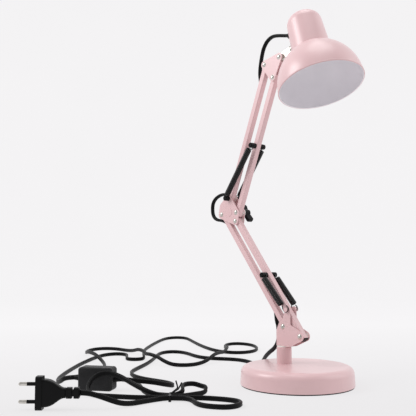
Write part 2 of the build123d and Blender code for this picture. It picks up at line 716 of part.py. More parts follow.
def make_held_lead():
    gland = shade_place() * Pos(-GLAND_SEAT, 0, GLAND_LEVEL) * Rot(0, -90 + GLAND_RISE, 0)
    mouth = (gland * Pos(0, 0, GLAND_LENGTH - 6)).position
    tip = (gland * Pos(0, 0, GLAND_LENGTH + 4)).position
    split = (-61.0, 0.0, 438.5)
    head = [tuple(mouth), tuple(tip), (-28.0, -0.6, 463.0), (-39.5, -0.3, 464.8), (-49.5, 0.0, 461.0)]
    parts["head_lead"] = cord_tube("head_lead", head + [(-56.0, 0.0, 453.5), (-59.392, 0.0, 445.2), split])
    into = in_plane(slot_route(YOKE_REAR, UPPER_LEAN, False))
    parts["yoke_lead"] = cord_tube("yoke_lead", [split, (-63.4, 0.0, 428.5)] + into[::-1])

    loop = [(-142.0, 255.0), (-152.5, 253.0), (-161.0, 248.5), (-166.3, 241.5), (-166.3, 235.0)]
    upper = slot_route(ELBOW_TOP_REAR, UPPER_LEAN, True, ELBOW_SLOT_SHIFT)
    parts["elbow_lead_upper"] = cord_tube("elbow_lead_upper", in_plane(upper + loop))
    tail = [(-166.3, 228.5), (-162.5, 221.5), (-154.5, 217.4)]
    lower = slot_route(ELBOW_LOW_REAR, LOWER_LEAN, False, ELBOW_SLOT_SHIFT)
    parts["elbow_lead_lower"] = cord_tube("elbow_lead_lower", in_plane([loop[-1]] + tail + lower[::-1]))

    exit_route = slot_route(BRACKET_REAR, LOWER_LEAN, True)
    parts["lead_exit"] = cord_tube("lead_exit", in_plane(exit_route + [(LEAD_LEAVES[0], LEAD_LEAVES[1] + 8.0), LEAD_LEAVES]))

    for name, pivot, lean in (("upper", ELBOW_TOP_REAR, UPPER_LEAN), ("lower", BRACKET_REAR, LOWER_LEAN)):
        inset = TUBE_LEAD_INSET
        straight = extrude(RegularPolygon(LEAD / 2, LEAD_SIDES), ARM - 2 * inset)
        parts[f"{name}_tube_lead"] = Pos(pivot[0], 0, pivot[1]) * Rot(0, lean, 0) * Pos(0, 0, inset) * straight


# Free lead, from the bracket to the plug


LEAD_LEAVES = (-32.6, 64.0)
DROP = [
    (LEAD_LEAVES[0], 0.0, LEAD_LEAVES[1]),
    (LEAD_LEAVES[0], 0.0, LEAD_LEAVES[1] - 8.0),
    (-36.5, 1.0, 48.0),
    (-45.0, 4.0, 41.0),
    (-58.0, 9.0, 35.0),
    (-74.0, 17.0, 27.0),
    (-92.0, 29.0, 16.5),
    (-109.0, 42.0, 8.0),
    laid(118.55, 225.5),
    laid(114, 245),
]
LAMP_RUN = [
    laid(114, 245),
    laid(107, 275),
    laid(93, 297),
    laid(71, 307),
    laid(50, 312),
    laid(32, 324),
    laid(19, 346),
    laid(9, 371),
    laid(-4, 390),
    laid(-21, 395),
    laid(-34, 383),
    laid(-40, 360),
    laid(-42, 328),
    laid(-45, 289),
    laid(-51, 247),
    laid(-60, 208),
    laid(-65, 178),
    laid(-60, 150),
    laid(-45, 126),
    laid(-24, 108),
    laid(-7, 93),
    laid(1, 75, 3.0),
    laid(-7, 60, 6.5),
    laid(-24, 52.5, 11.0),
]
SWITCH_RUN = [
    (-142, 82, 7.0),
    (-150, 98, 3.0),
    (-154, 121),
    (-155, 150),
    (-154, 182),
    (-152, 218),
    (-149, 254),
    (-144, 290),
    (-138, 325),
    (-130, 350),
    (-121, 362),
    (-109, 367.5),
    (-98, 363),
    (-91, 352),
    (-89, 334),
    (-87, 310.5),
    (-79, 302.5),
    (-68, 302.5),
    (-60, 310.5),
    (-61, 333),
    (-64, 358),
    (-67.5, 386),
    (-68, 420),
    (-64, 465),
    (-58, 512),
    (-51, 556),
    (-44, 588),
    (-33, 607),
    (-18, 613),
    (-4, 604),
    (4, 584),
    (13, 545),
    (24, 500),
    (36, 458),
    (50, 420),
    (66, 394),
    (86, 381),
    (106, 384),
    (122, 401),
    (130, 428),
    (130, 460),
    (124, 487),
    (112, 504),
    (97, 511),
    (83, 503),
    (75, 484),
    (73, 457),
    (76, 428, 5.0),
    (77, 402, 11.2),
    (74, 370, 11.2),
    (69, 345, 8.5),
    (61, 322, 11.2),
    (52, 297, 11.2),
    (42, 272, 5.5),
    (27, 252),
    (8, 240),
    (-11, 240, 4.0),
    (-25, 254, 8.0),
    (-35, 273, 11.2),
    (-50, 303, 11.2),
    (-57, 321, 9.0),
    (-62, 337, 11.2),
    (-73, 363, 11.2),
    (-85, 387, 5.5),
    (-99, 411),
    (-117, 431),
    (-138, 439),
    (-156, 430),
    (-165, 408),
    (-164, 380, 3.5),
    (-157, 352, 8.0),
    (-149, 327, 11.2),
    (-134, 299, 11.2),
    (-121, 275, 5.5),
    (-112, 248),
    (-107, 214),
    (-101, 180),
    (-89, 149),
    (-71, 124),
    (-54, 102),
    (-43, 79),
    (-38, 57),
    (-34, 38),
]
HANK_JOIN = (-26.0, 22.5)
PLUG_JOIN = (-28.0, -21.0)
PLUG_RUN = [(-85.5, -50, PLUG_HEIGHT / 2), (-74, -49, 14.5), (-62, -46, 9.5), (-51, -41, 4.8), (-40, -32.5)]


def hank_stations():
    """Centre line of the folded hank: stations of (u, v, z) with headings, from the table lead to the plug lead."""
    waist = LEAD_REST + HANK_LIFT
    lanes = [HANK_STEP * (1.5 - lane) for lane in range(4)]
    # length, width and fan angle of each fold to the right, with the heights of its sides and end; the left fold
    # leans on the switch
    small = (48.0, 24.0, 38.0, (12.0, 9.0, 4.0))
    large = (84.0, 40.0, -24.0, (LEAD_REST, LEAD_REST, LEAD_REST))
    leaning = [
        ((-44.0, 24.0, 13.0), (-0.84, 0.42, 0.33)),
        ((-76.0, 46.4, 22.5), (-0.97, 0.2, 0.05)),
        ((-97.0, 30.0, 9.5), (-0.05, -0.8, -0.6)),
        ((-82.0, 12.5, LEAD_REST), (0.95, -0.3, 0.0)),
    ]
    last = SWITCH_RUN[-1]
    first = PLUG_RUN[-1]
    arrive = (HANK_JOIN[0] - last[0], HANK_JOIN[1] - last[1], 0.0)
    leave = (first[0] - PLUG_JOIN[0], first[1] - PLUG_JOIN[1], 0.0)
    stations = [((HANK_JOIN[0], HANK_JOIN[1], LEAD_REST), arrive)]

    def right_fold(lane, length, width, fan, heights):
        turn = radians(fan)
        ahead = (cos(turn), sin(turn))
        across = (-ahead[1], ahead[0])

        def spot(forward, sideways, z):
            return (
                ahead[0] * forward + across[0] * sideways,
                lane - HANK_STEP / 2 + ahead[1] * forward + across[1] * sideways,
                z,
            )

        half = width / 2
        tip = length - half
        return [
            ((-4.0, lane, waist), (1.0, 0.0, 0.0)),
            ((4.0, lane, waist), (1.0, 0.0, 0.0)),
            (spot(tip, half, heights[0]), (ahead[0], ahead[1], 0.0)),
            (spot(length, 0.0, heights[1]), (-across[0], -across[1], 0.0)),
            (spot(tip, -half, heights[2]), (-ahead[0], -ahead[1], 0.0)),
        ]

    stations += right_fold(lanes[0], *small)
    stations += [((4.0, lanes[1], waist), (-1.0, 0.0, 0.0)), ((-4.0, lanes[1], waist), (-1.0, 0.0, 0.0))]
    stations += leaning
    stations += right_fold(lanes[2], *large)
    stations += [
        ((4.0, lanes[3], waist), (-1.0, 0.0, 0.0)),
        ((-4.0, lanes[3], waist), (-1.0, 0.0, 0.0)),
        ((PLUG_JOIN[0], PLUG_JOIN[1], LEAD_REST), leave),
    ]
    return stations


def make_free_lead():
    parts["lead_drop"] = cord_tube("lead_drop", DROP)
    ends = {name: (switch_place() * Pos(way * (SWITCH_LENGTH / 2 + SWITCH_GLAND), 0, SWITCH_HEIGHT / 2)).position
            for name, way in (("lamp", 1), ("table", -1))}
    before = {name: (switch_place() * Pos(way * (SWITCH_LENGTH / 2 + SWITCH_GLAND + 13), 0, SWITCH_HEIGHT / 2 - 1)).position
              for name, way in (("lamp", 1), ("table", -1))}
    parts["lamp_lead"] = cord_tube("lamp_lead", LAMP_RUN + [tuple(before["lamp"]), tuple(ends["lamp"])])
    run = [tuple(ends["table"]), tuple(before["table"])] + [laid(*point) for point in SWITCH_RUN]
    parts["table_lead"] = cord_tube("table_lead", run + [laid(*HANK_JOIN)])

    turn = Rot(0, 0, HANK_HEADING)
    stations = []
    for place, heading in hank_stations():
        stations.append((Vector(*laid(*place)), (turn * Pos(*heading)).position.normalized()))
    path = biarc_path(stations)
    parts["lead_hank"] = swept(path, LEAD / 2, LEAD_SIDES)
    print(f"lead_hank: length {path.length:.0f}, least gap to itself {least_gap(path, LEAD, 2.0, 20.0):.2f}")

    plug_end = (plug_place() * Pos(PLUG_BODY + PLUG_RELIEF, 0, PLUG_HEIGHT / 2)).position
    run = [laid(*PLUG_JOIN)] + [laid(*point) for point in PLUG_RUN[::-1]] + [tuple(plug_end)]
    parts["plug_lead"] = cord_tube("plug_lead", run)

    half = 1.5 * HANK_STEP + LEAD / 2 + 0.4
    floor = HANK_LIFT + LEAD + 0.4
    ring = Rectangle(2 * (half + TIE_THICKNESS), floor + TIE_THICKNESS) - Rectangle(2 * half, floor - TIE_THICKNESS)
    band = Pos(-TIE_WIDTH / 2, 0, (floor + TIE_THICKNESS) / 2) * (Plane.YZ * extrude(ring, TIE_WIDTH))
    top = floor + TIE_THICKNESS
    tie = band
    for route in (((0, 3, top - 0.5), (8.5, 4, top + 6), (6, 5, top + 14)), ((0, 3, top - 0.5), (9, 2, top + 5), (13, 1, top + 12.5))):
        path = FilletPolyline(*route, radius=3.0)
        tie += sweep(Plane(path ^ 0) * Circle(0.85), path=path)
    place = Pos(HANK_CENTRE[0], HANK_CENTRE[1], 0) * turn
    parts["twist_tie"] = place * tie


# In-line switch and plug


def switch_place():
    spot = laid(*SWITCH_AT, 0.0)
    return Pos(*spot) * Rot(0, 0, HANK_HEADING + SWITCH_TURN)


def make_switch():
    place = switch_place()
    outline = Pos(0, SWITCH_HEIGHT / 2) * RectangleRounded(SWITCH_LENGTH, SWITCH_HEIGHT, SWITCH_ROUND)
    half = SWITCH_DEPTH / 2
    front = slab(outline, -half, 0)
    front = chamfer(front.faces().sort_by(Axis.Y)[0].edges(), 1.4)
    back = slab(outline, 0, half)
    back = chamfer(back.faces().sort_by(Axis.Y)[-1].edges(), 1.4)
    well = Pos(0, half, SWITCH_HEIGHT / 2) * Box(ROCKER_LENGTH + 2 * ROCKER_GAP, 12.0, ROCKER_HEIGHT + 2 * ROCKER_GAP)
    end_hole = Pos(SWITCH_LENGTH / 2, 0, SWITCH_HEIGHT / 2) * Rot(0, 90, 0) * Cylinder(4.0, 6.0)
    holes = end_hole + mirror(end_hole, Plane.YZ)
    parts["switch_front_half"] = place * (front - holes)
    pin = Pos(0, half - 3.0, SWITCH_HEIGHT / 2) * Cylinder(1.2 + RUN_FIT, ROCKER_HEIGHT + 6.0)
    parts["switch_back_half"] = place * (back - well - holes - pin)
    rocker_face = make_face(
        Polyline(
            (-ROCKER_LENGTH / 2, half - 2.2),
            (0, half - 4.8),
            (ROCKER_LENGTH / 2, half - 2.2),
            (ROCKER_LENGTH / 2, half + 0.9),
            (0, half - 0.2),
            (-ROCKER_LENGTH / 2, half + 0.9),
            close=True,
        )
    )
    block = Pos(0, 0, SWITCH_HEIGHT / 2 - ROCKER_HEIGHT / 2) * extrude(rocker_face, ROCKER_HEIGHT)
    axle = Pos(0, half - 3.0, SWITCH_HEIGHT / 2) * Cylinder(1.2, ROCKER_HEIGHT + 5.0)
    pressed = Pos(0, half - 3.0, 0) * Rot(0, 0, ROCKER_TILT) * Pos(0, 3.0 - half, 0)
    parts["switch_rocker"] = place * pressed * (block + axle)
    sleeve = make_face(
        Polyline(
            (LEAD / 2 + SEAT_FIT, -3.0),
            (4.0 - SEAT_FIT, -3.0),
            (4.0 - SEAT_FIT, 0),
            (LEAD / 2 + 0.8, SWITCH_GLAND),
            (LEAD / 2 + SEAT_FIT, SWITCH_GLAND),
            close=True,
        )
    )
    core = spun(sleeve) + Pos(0, 0, SWITCH_GLAND / 2 - 2) * Cylinder(LEAD / 2 + SEAT_FIT, SWITCH_GLAND + 2)
    right = Pos(SWITCH_LENGTH / 2, 0, SWITCH_HEIGHT / 2) * Rot(0, 90, 0) * core
    parts["switch_glands"] = Compound([place * right, place * mirror(right, Plane.YZ)])


def plug_place():
    spot = laid(*PLUG_AT, 0.0)
    return Pos(*spot) * Rot(0, 0, HANK_HEADING)


def make_plug():
    place = plug_place()
    middle = PLUG_HEIGHT / 2
    sections = [
        (0.0, PLUG_WIDTH - 1.4, 29.0),
        (4.5, PLUG_WIDTH - 1.6, 28.4),
        (10.0, 11.6, 25.0),
        (15.0, 10.4, 18.6),
        (19.5, 9.2, 12.6),
        (PLUG_BODY, 8.4, 10.6),
    ]
    faces = []
    for x, wide, tall in sections:
        faces.append(Plane(origin=(x, 0, middle), x_dir=(0, 1, 0), z_dir=(1, 0, 0)) * RectangleRounded(wide, tall, 2.5))
    body = loft(faces)
    rim = RectangleRounded(PLUG_WIDTH, PLUG_HEIGHT, 3.0)
    flange = Plane(origin=(-PLUG_FLANGE, 0, middle), x_dir=(0, 1, 0), z_dir=(1, 0, 0)) * rim
    flange = extrude(flange, PLUG_FLANGE)
    relief_plane = Plane(origin=(PLUG_BODY, 0, middle), x_dir=(0, 1, 0), z_dir=(1, 0, 0))
    relief = relief_plane * extrude(RectangleRounded(6.4, 7.4, 2.0), PLUG_RELIEF)
    for start, length in ((1.2, 5.4), (9.2, 5.4)):
        relief += relief_plane * Pos(0, 0, start) * extrude(RectangleRounded(9.0, 11.5, 2.2), length)
    core = PIN_SLEEVE_RADIUS - 0.4
    tip = PLUG_PIN_RADIUS
    pin_face = make_face(
        Polyline(
            (0, -PIN_ROOT),
            (core, -PIN_ROOT),
            (core, PIN_SLEEVE),
            (tip, PIN_SLEEVE),
            (tip, PIN_LENGTH - 1.2),
            (tip - 1, PIN_LENGTH),
            (0, PIN_LENGTH),
            close=True,
        )
    )
    moulding = body + flange + relief
    pins = []
    for way in (-1, 1):
        axis = Pos(-PLUG_FLANGE, 0, middle + way * PIN_PITCH / 2) * Rot(0, -90, 0)
        moulding += axis * extrude(Circle(PIN_SLEEVE_RADIUS), PIN_SLEEVE)
        moulding -= axis * Pos(0, 0, -PIN_ROOT) * extrude(Circle(core + SEAT_FIT), PIN_ROOT + PIN_SLEEVE)
        pins.append(place * axis * spun(pin_face))
    parts["plug_body"] = place * moulding
    parts["plug_pins"] = Compound(pins)


make_base()
make_bracket()
slot_middle = (SLOT_NEAR + SLOT_FAR) / 2
elbow_slot = slot_middle - ELBOW_SLOT_SHIFT
lower_slots = (slot_middle, ARM - elbow_slot)
make_arm("lower", BRACKET_REAR, BRACKET_FRONT, LOWER_LEAN, LOWER_SPRING_PIN, lower_slots)
make_elbow()
upper_slots = (elbow_slot, ARM - slot_middle)
make_arm("upper", ELBOW_TOP_REAR, ELBOW_TOP_FRONT, UPPER_LEAN, UPPER_SPRING_PIN, upper_slots)
make_tube_plugs()
make_springs("lower", HORN_TIP, LOWER_SPRING_PIN, LOWER_TURNS, EYE_RADIUS, PIVOT_RADIUS)
make_springs("upper", ELBOW_TOP_REAR, UPPER_SPRING_PIN, UPPER_TURNS, HOOK_RADIUS, GROOVE_RADIUS)
make_yoke()
make_head()
make_held_lead()
make_free_lead()
make_switch()
make_plug()

os.makedirs("parts", exist_ok=True)
for name, solid in parts.items():
    export_step(solid, f"parts/{name}.step")
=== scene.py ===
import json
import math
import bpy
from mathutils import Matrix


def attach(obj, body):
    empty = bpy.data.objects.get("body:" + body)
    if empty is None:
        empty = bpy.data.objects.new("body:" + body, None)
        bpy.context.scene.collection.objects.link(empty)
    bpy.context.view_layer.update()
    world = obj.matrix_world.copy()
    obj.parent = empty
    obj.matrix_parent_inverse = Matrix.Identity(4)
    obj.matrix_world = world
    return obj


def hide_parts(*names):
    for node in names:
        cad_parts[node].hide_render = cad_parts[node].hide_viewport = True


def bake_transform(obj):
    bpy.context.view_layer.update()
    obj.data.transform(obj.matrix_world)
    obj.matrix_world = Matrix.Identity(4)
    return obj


bl_info = {
    "name": "Jointed desk lamp",
    "version": (1, 0, 0),
    "blender": (4, 5, 0),
    "location": "View3D > Sidebar > Lamp",
    "description": "Finishes a jointed desk lamp: enamel, springs, leads, plug, switch and studio",
    "category": "Object",
}

import bpy
from mathutils import Euler, Matrix, Vector

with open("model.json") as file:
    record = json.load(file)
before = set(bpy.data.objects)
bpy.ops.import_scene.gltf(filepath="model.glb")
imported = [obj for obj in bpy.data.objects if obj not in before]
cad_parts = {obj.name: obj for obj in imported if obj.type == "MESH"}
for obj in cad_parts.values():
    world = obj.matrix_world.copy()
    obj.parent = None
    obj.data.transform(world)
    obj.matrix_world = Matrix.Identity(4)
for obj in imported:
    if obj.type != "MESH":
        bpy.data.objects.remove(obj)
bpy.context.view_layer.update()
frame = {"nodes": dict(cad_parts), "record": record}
NODES = frame["nodes"]
MM = 0.001
UP = Vector((0, 0, 1))
ACROSS = Vector((0, 1, 0))

# Places on the arms, in millimetres from the base's middle: x to the front and z up, in the plane y = 0
HORN_TIP = (-10.0, 95.0)
BRACKET_REAR = (-18.6, 72.6)
LOWER_SPRING_PIN = (-50.47, 138.8)
ELBOW_LOW_REAR = (-139.103, 224.636)
ELBOW_TOP_REAR = (-123.9, 247.24)
UPPER_SPRING_PIN = (-70.9, 316.78)
YOKE_REAR = (-49.662, 426.469)

# How far each arm leans to the front, in degrees
LOWER_LEAN = -38.4
UPPER_LEAN = 22.5

# Middle of the shade's hollow, in millimetres
SHADE_MIDDLE = (44.5, -3.3, 392.2)

# Held lead, in millimetres: where it leaves the bracket, and where one stretch ends and the next begins
LEAD_LEAVES = (-32.6, 0.0, 64.0)
LEAD_SPLIT_HEAD = (-61.0, 0.0, 438.5)
LEAD_SPLIT_ELBOW = (-166.3, 0.0, 235.0)

# Way out of a tube by its slot: distance from the pivot along the tube, and offset to the tube's front
SLOT_ROUTE = ((34.0, 0.0), (24.5, -3.6), (15.5, -9.6))
# The elbow's slots are this much nearer to their pivots
ELBOW_SLOT_SHIFT = 13.0
# Distance from the pivot at which the lead inside a tube begins
TUBE_LEAD_INSET = 40.0

# Routes of the held stretches between the slots
HEAD_LEAD = [
    (-5.87, 1.1, 457.59),
    (-15.6, 1.41, 459.88),
    (-28.0, -0.6, 463.0),
    (-39.5, -0.3, 464.8),
    (-49.5, 0.0, 461.0),
    (-56.0, 0.0, 453.5),
    (-59.392, 0.0, 445.2),
    LEAD_SPLIT_HEAD,
]
YOKE_BEND = (-63.4, 0.0, 428.5)
ELBOW_LOOP = [
    (-142.0, 0.0, 255.0),
    (-152.5, 0.0, 253.0),
    (-161.0, 0.0, 248.5),
    (-166.3, 0.0, 241.5),
    LEAD_SPLIT_ELBOW,
]
ELBOW_TAIL = [(-166.3, 0.0, 228.5), (-162.5, 0.0, 221.5), (-154.5, 0.0, 217.4)]
EXIT_BEND = (-32.6, 0.0, 72.0)
# The head's lead goes over from the head to the yoke along its whole length
HEAD_LEAD_TURNING = ((2.1, 1.1, 457.6), (-65.0, 1.1, 457.6))

# The lead's drop behind the bracket
DROP = [
    LEAD_LEAVES,
    (-32.6, 0.0, 56.0),
    (-36.5, 1.0, 48.0),
    (-45.0, 4.0, 41.0),
    (-58.0, 9.0, 35.0),
    (-74.0, 17.0, 27.0),
    (-92.0, 29.0, 16.5),
    (-109.0, 42.0, 8.0),
]
# Way that the flat lead's wide side faces as it leaves the bracket
DROP_SIDE = Vector((-0.83, 0.55, 0))

# Free lead on the table: along the hank (u), behind it (v) and, where it leaves the table, its height
HANK_CENTRE = (-28.0, -181.0)
HANK_HEADING = 50.0
LEAD_REST = 2.9
LAMP_RUN = [
    (118.55, 225.5), (114, 245), (107, 275), (93, 297), (71, 307), (50, 312), (32, 324), (19, 346), (9, 371),
    (-4, 390), (-21, 395), (-34, 383), (-40, 360), (-42, 328), (-45, 289), (-51, 247), (-60, 208), (-65, 178),
    (-60, 150), (-45, 126), (-24, 108), (-7, 93), (1, 75, 3.0), (-7, 60, 6.5), (-24, 52.5, 11.0),
    (-50.94, 54.06, 13.0), (-63.66, 56.76, 14.0),
]
TABLE_RUN = [
    (-122.34, 69.24, 14.0), (-135.06, 71.94, 13.0),
    (-142, 82, 7.0), (-150, 98, 3.0), (-154, 121), (-155, 150), (-154, 182), (-152, 218), (-149, 254),
    (-144, 290), (-138, 325), (-130, 350), (-121, 362), (-109, 367.5), (-98, 363), (-91, 352), (-89, 334),
    (-87, 310.5), (-79, 302.5), (-68, 302.5), (-60, 310.5), (-61, 333), (-64, 358), (-67.5, 386), (-68, 420),
    (-64, 465), (-58, 512), (-51, 556), (-44, 588), (-33, 607), (-18, 613), (-4, 604), (4, 584), (13, 545),
    (24, 500), (36, 458), (50, 420), (66, 394), (86, 381), (106, 384), (122, 401), (130, 428), (130, 460),
    (124, 487), (112, 504), (97, 511), (83, 503), (75, 484), (73, 457), (76, 428, 5.0), (77, 402, 11.2),
    (74, 370, 11.2), (69, 345, 8.5), (61, 322, 11.2), (52, 297, 11.2), (42, 272, 5.5), (27, 252), (8, 240),
    (-11, 240, 4.0), (-25, 254, 8.0), (-35, 273, 11.2), (-50, 303, 11.2), (-57, 321, 9.0), (-62, 337, 11.2),
    (-73, 363, 11.2), (-85, 387, 5.5), (-99, 411), (-117, 431), (-138, 439), (-156, 430), (-165, 408),
    (-164, 380, 3.5), (-157, 352, 8.0), (-149, 327, 11.2), (-134, 299, 11.2), (-121, 275, 5.5), (-112, 248),
    (-107, 214), (-101, 180), (-89, 149), (-71, 124), (-54, 102), (-43, 79), (-38, 57), (-34, 38),
    (-26, 22.5),
]
PLUG_RUN = [
    (-28, -21), (-40, -32.5), (-51, -41, 4.8), (-62, -46, 9.5), (-74, -49, 14.5), (-85.5, -50, 17.65),
    (-93, -50, 17.65),
]

# The hank: its strands under the tie, their spacing and height, half the tie's length, and the way out
HANK_LANES = 4
HANK_STEP = 5.0
HANK_WAIST = 3.9
TIE_HALF = 4.0
HANK_TAIL = (-14.0, -1.5)
# Shares of the way to a fold's end at which its strands have left the tie and have spread
FOLD_ENTRY = 0.3
FOLD_SPREAD = 0.68
# The fold that leans on the switch
LEANING_FOLD = [
    (-22, 5.5, 6.5), (-44, 22, 13.5), (-62, 39, 20.5), (-79, 47.6, 24.0), (-94, 43.5, 19.5),
    (-99.5, 31, 10.5), (-96, 18, 4.5), (-83, 11), (-62, 5.5), (-36, -0.5), (-14, -2.5, 3.4),
]

# Springs, in millimetres: distance from the arms' plane, the hook round the upper pin, and the space that
# the eye and the hook take before and after the turns
SPRING_PLANE = 8.6
HOOK_RADIUS = 3.1
EYE_REACH = 2.6
HOOK_REACH = 6.0
# The wire's cut ends: past the eye's middle, as a share of its radius aside, and short of the hook's middle
EYE_CUT = 2.2
EYE_CUT_ASIDE = 0.8
HOOK_CUT = 1.8
# The wire's way from the eye to the first turn, as shares of the space and of the eye's radius
EYE_NECK = ((0.55, 0.9), (0.85, 0.5))
# The wire's way from the last turn to the hook, in millimetres and as a share of the hook's radius
HOOK_NECK = ((1.2, 0.6), (3.3, 0.95))
# The eye and the hook are half rounds, with a point at each step, in degrees
ROUND_STEP = 30
HALF_ROUND = range(180 // ROUND_STEP + 1)
COIL_STEPS = 12
WIRE_SIDES = 7
# Each arm's springs: lower and upper pin, the eye's radius, the radius that the eye hangs on, the two bodies,
# and the shares of the way from pin to pin between which a coil goes over from the first to the second
SPRING_PAIRS = {
    "lower": (HORN_TIP, LOWER_SPRING_PIN, 4.4, 2.0, ("lower_front_arm", "turret"), (0.8, -0.08)),
    "upper": (ELBOW_TOP_REAR, UPPER_SPRING_PIN, 3.1, 2.35, ("elbow", "upper_front_arm"), (0.0, 0.2)),
}

# The lead's section: steps round each core, degrees of skin round it, and the share of a core's radius that
# is left in the valley between the two
CORE_STEPS = 6
CORE_ARC = 144
VALLEY = 0.74

# Points that a smooth line gets for each point of its route
HELD_LEAD_STEPS = 10
FREE_LEAD_STEPS = 8
WIRE_STEPS = 2
# Lengths that the straight lead inside a tube is made of
TUBE_LEAD_STEPS = 12

# A flat lead turns its wide side up by this share at each ring
WIDE_SIDE_TURN = 0.2
# It does so where the part of UP that lies across the line is longer than this: 1 if level, 0 if plumb
LEVEL_ENOUGH = 0.3

# Patterns: detail of clouds and ripples, and the noise values at which a cloud takes its two tones
CLOUD_DETAIL = 3.0
CLOUD_EDGES = (0.35, 0.65)
RIPPLE_DETAIL = 2.0
# Typical of nylon, ABS and PVC
PLASTIC_IOR = 1.53
# The colour sockets of a mix node share their names with its other kinds, so they go by number
MIX_FIRST, MIX_SECOND, MIX_RESULT = 6, 7, 2

# Studio, in metres and degrees
CAMERA_PLACE = (0.5992, -0.6514, 0.1562)
CAMERA_TILT = 4.56
CAMERA_HEADING = 50
SWEEP_FLOOR = 2.4
SWEEP_BEND = 1.2
SWEEP_TOP = 7.0
SWEEP_SIDES = 72
BEND_STEP = 6
# The sweep's painted glow grows from a share of its strength near the camera to all of it behind the lamp
PAINTED_GLOW_FROM = -3.0
PAINTED_GLOW_TO = 0.8
PAINTED_GLOW_NEAR = 0.47
# Width of the camera's frame, in millimetres
CAMERA_FRAME = 36


# Sizes and colours that a user would change


class LampFinishes(bpy.types.PropertyGroup):
    enamel: bpy.props.StringProperty(
        name="Enamel", description="Colour of the powder coat, as an sRGB hex value", default="DEB9BB"
    )
    lining: bpy.props.StringProperty(
        name="Shade lining", description="Colour inside the shade, as an sRGB hex value", default="F1EDF2"
    )
    nylon: bpy.props.StringProperty(
        name="Nylon", description="Colour of bobbins, knob and plug, as an sRGB hex value", default="0B0B0C"
    )
    switch: bpy.props.StringProperty(
        name="Switch", description="Colour of the switch's halves, as an sRGB hex value", default="262627"
    )
    lead: bpy.props.StringProperty(
        name="Lead", description="Colour of the PVC lead, as an sRGB hex value", default="0D0D0E"
    )
    peel: bpy.props.FloatProperty(
        name="Orange peel",
        description="Size of the ripple in the powder coat",
        default=2.2 * MM,
        unit="LENGTH",
    )


class LampLeads(bpy.types.PropertyGroup):
    width: bpy.props.FloatProperty(
        name="Lead width", description="Width of the flat twin lead", default=5.8 * MM, unit="LENGTH"
    )
    thickness: bpy.props.FloatProperty(
        name="Lead thickness", description="Thickness of the flat twin lead", default=4.3 * MM, unit="LENGTH"
    )


class LampSprings(bpy.types.PropertyGroup):
    wire: bpy.props.FloatProperty(
        name="Spring wire", description="Diameter of the spring wire", default=1.42 * MM, unit="LENGTH"
    )
    radius: bpy.props.FloatProperty(
        name="Coil radius",
        description="Radius of a coil at the middle of its wire",
        default=3.5 * MM,
        unit="LENGTH",
    )
    lower_turns: bpy.props.IntProperty(
        name="Lower turns", description="Turns of each lower spring", default=31
    )
    upper_turns: bpy.props.IntProperty(
        name="Upper turns", description="Turns of each upper spring", default=52
    )


class LampStudio(bpy.types.PropertyGroup):
    key_power: bpy.props.FloatProperty(
        name="Key light", description="Power of the large key light", default=9.8, subtype="POWER"
    )
    rim_power: bpy.props.FloatProperty(
        name="Rim light", description="Power of the light on the right", default=5.0, subtype="POWER"
    )
    top_power: bpy.props.FloatProperty(
        name="Top light", description="Power of the light overhead", default=3.7, subtype="POWER"
    )
    front_power: bpy.props.FloatProperty(
        name="Front light", description="Power of the light above the camera", default=1.2, subtype="POWER"
    )
    sky: bpy.props.FloatProperty(
        name="Sky", description="Strength of the even white surround", default=0.45
    )
    # Painted glow: the paper sweep gives off light, though it is no lamp
    painted_glow: bpy.props.FloatProperty(
        name="Glow", description="Light that comes through the paper sweep, at the back", default=0.82
    )
    lens: bpy.props.FloatProperty(
        name="Lens",
        description="Focal length of the camera on a 36 mm frame",
        default=58.59,
        subtype="DISTANCE_CAMERA",
    )


# Materials

FINISH = {}


def linear(code):
    """Linear colour of an sRGB hex value."""
    channels = [int(code[start:start + 2], 16) / 255 for start in (0, 2, 4)]
    return (*[c / 12.92 if c <= 0.04045 else ((c + 0.055) / 1.055) ** 2.4 for c in channels], 1.0)


def shaded(code, factor):
    """Linear colour of an sRGB hex value, made lighter or darker."""
    return (*[min(1.0, c * factor) for c in linear(code)[:3]], 1.0)


def add(tree, kind, values=None, links=None, **fields):
    """Add a node with its settings, input values and incoming links."""
    node = tree.nodes.new(kind)
    for name, value in fields.items():
        setattr(node, name, value)
    for name, value in (values or {}).items():
        node.inputs[name].default_value = value
    for name, socket in (links or {}).items():
        tree.links.new(socket, node.inputs[name])
    return node


def new_material(name):
    """A material with an empty tree, its principled shader and its place in the object's own frame."""
    material = bpy.data.materials.new(name)
    material.use_nodes = True
    tree = material.node_tree
    tree.nodes.clear()
    output = add(tree, "ShaderNodeOutputMaterial")
    shader = add(tree, "ShaderNodeBsdfPrincipled")
    tree.links.new(shader.outputs["BSDF"], output.inputs["Surface"])
    place = add(tree, "ShaderNodeTexCoord").outputs["Object"]
    return material, tree, shader, place


def tone(tree, place, size, first, second):
    """A cloudy mix of two colours whose clouds are about as wide as size, in metres."""
    noise = add(tree, "ShaderNodeTexNoise", {"Scale": 1 / size, "Detail": CLOUD_DETAIL}, {"Vector": place})
    ramp = add(tree, "ShaderNodeValToRGB", links={"Fac": noise.outputs["Fac"]})
    for element, position, colour in zip(ramp.color_ramp.elements, CLOUD_EDGES, (first, second)):
        element.position = position
        element.color = colour
    return ramp.outputs["Color"]


def ripple(tree, shader, place, size, height, strength):
    """A bump whose hills are about as wide as size and as high as height, in metres."""
    noise = add(tree, "ShaderNodeTexNoise", {"Scale": 1 / size, "Detail": RIPPLE_DETAIL}, {"Vector": place})
    bump = add(
        tree, "ShaderNodeBump", {"Strength": strength, "Distance": height}, {"Height": noise.outputs["Fac"]}
    )
    tree.links.new(bump.outputs["Normal"], shader.inputs["Normal"])
    return noise.outputs["Fac"]


def roughen(tree, shader, source, low, high):
    """Roughness that follows a pattern between two values."""
    spread = add(tree, "ShaderNodeMapRange", {"To Min": low, "To Max": high}, {"Value": source})
    tree.links.new(spread.outputs["Result"], shader.inputs["Roughness"])


